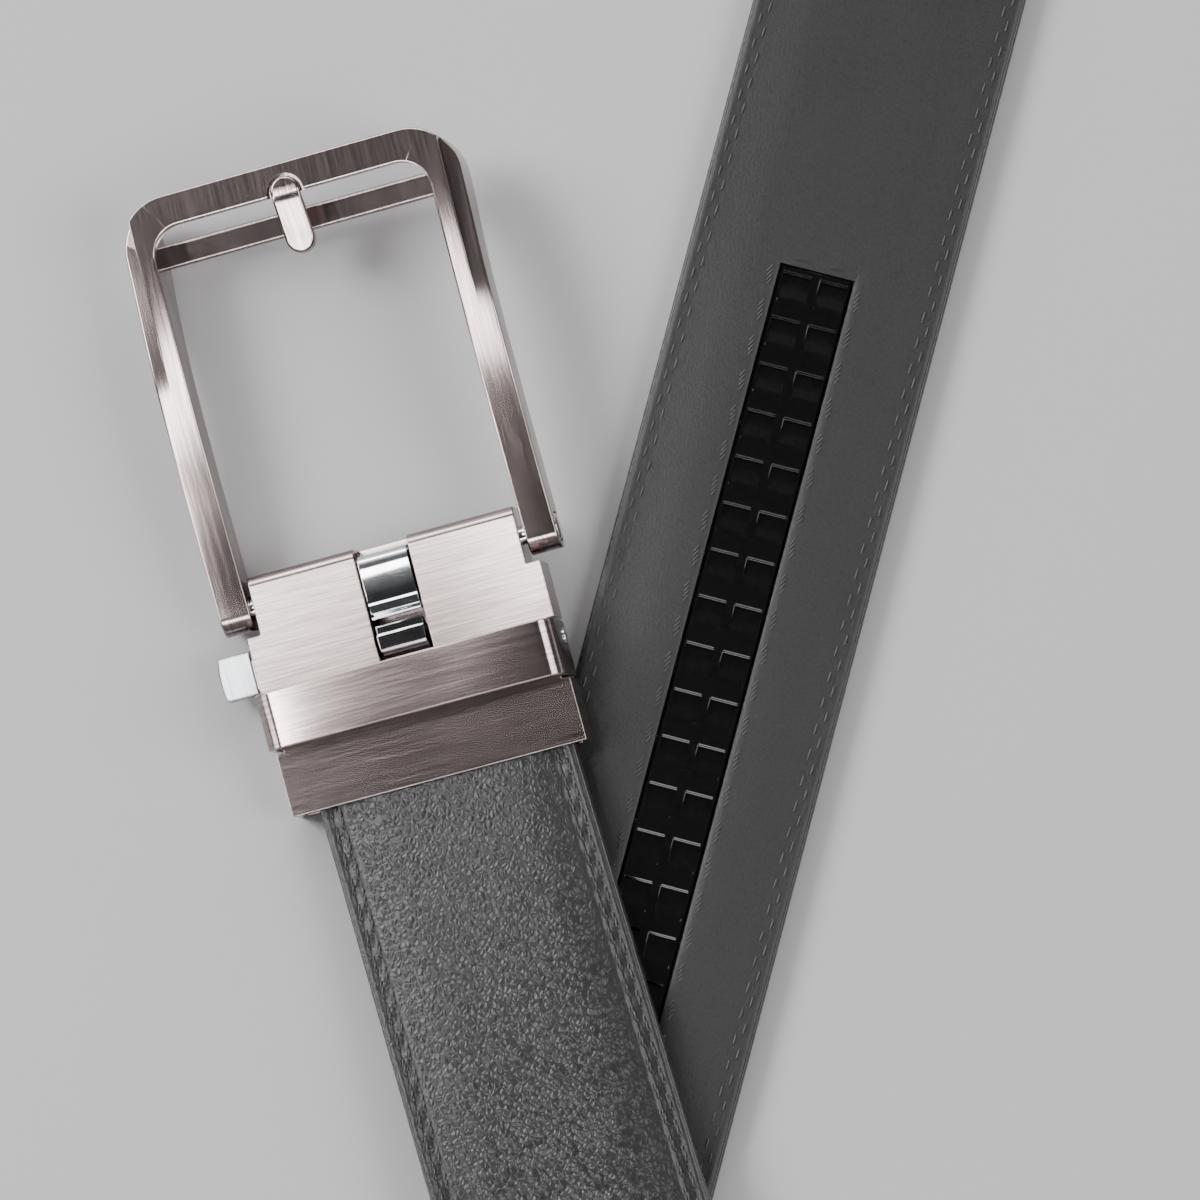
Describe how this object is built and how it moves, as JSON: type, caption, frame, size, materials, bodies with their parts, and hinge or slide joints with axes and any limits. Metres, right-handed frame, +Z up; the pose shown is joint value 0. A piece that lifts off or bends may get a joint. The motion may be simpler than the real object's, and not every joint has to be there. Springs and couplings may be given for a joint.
{
  "type": "ratchet belt",
  "caption": "Leather ratchet belt lying crossed over itself: hinged open frame buckle with clamp and keeper, and a toothed track on the strap's back.",
  "frame": {"origin": "on the surface that the belt lies on, under the point where its two stretches of strap cross", "axes": "+X to the buckle's right, +Y along the buckle towards the far end of its frame, +Z up"},
  "size_m": [0.2648, 0.5602, 0.0355],
  "materials": {
    "leather_front": "pebbled, semi-matt",
    "leather_lining": "smooth, fine grained, matt",
    "track_plastic": "satin",
    "gunmetal": "brushed, warm gunmetal",
    "polished_steel": "polished"
  },
  "bodies": {
    "belt": {"strap_front_leather": "leather_front", "strap_back_lining": "leather_lining", "ratchet_track": "track_plastic", "clamp_body": "gunmetal", "clamp_back_cover": "gunmetal", "keeper_band": "gunmetal", "pawl_guide": "polished_steel", "hinge_pin_left": "polished_steel", "hinge_pin_right": "polished_steel"},
    "frame": {"buckle_frame": "gunmetal", "prong_stub": "gunmetal"},
    "catch": {"pawl": "polished_steel", "pawl_shaft": "polished_steel", "release_lever": "polished_steel"}
  },
  "joints": [
    {"name": "frame_hinge", "type": "hinge", "parent": "belt", "child": "frame", "pos_m": [-0.00267, 0.08585, 0.00592], "axis": [0.9945, 0, 0.1045], "range_deg": [0, 80]},
    {"name": "release_lever", "type": "hinge", "parent": "belt", "child": "catch", "pos_m": [-0.00264, 0.07175, 0.00567], "axis": [-0.9945, 0, -0.1045], "range_deg": [0, 14], "stiffness_Nm_per_rad": 0.02, "springref_deg": -11.46}
  ]
}
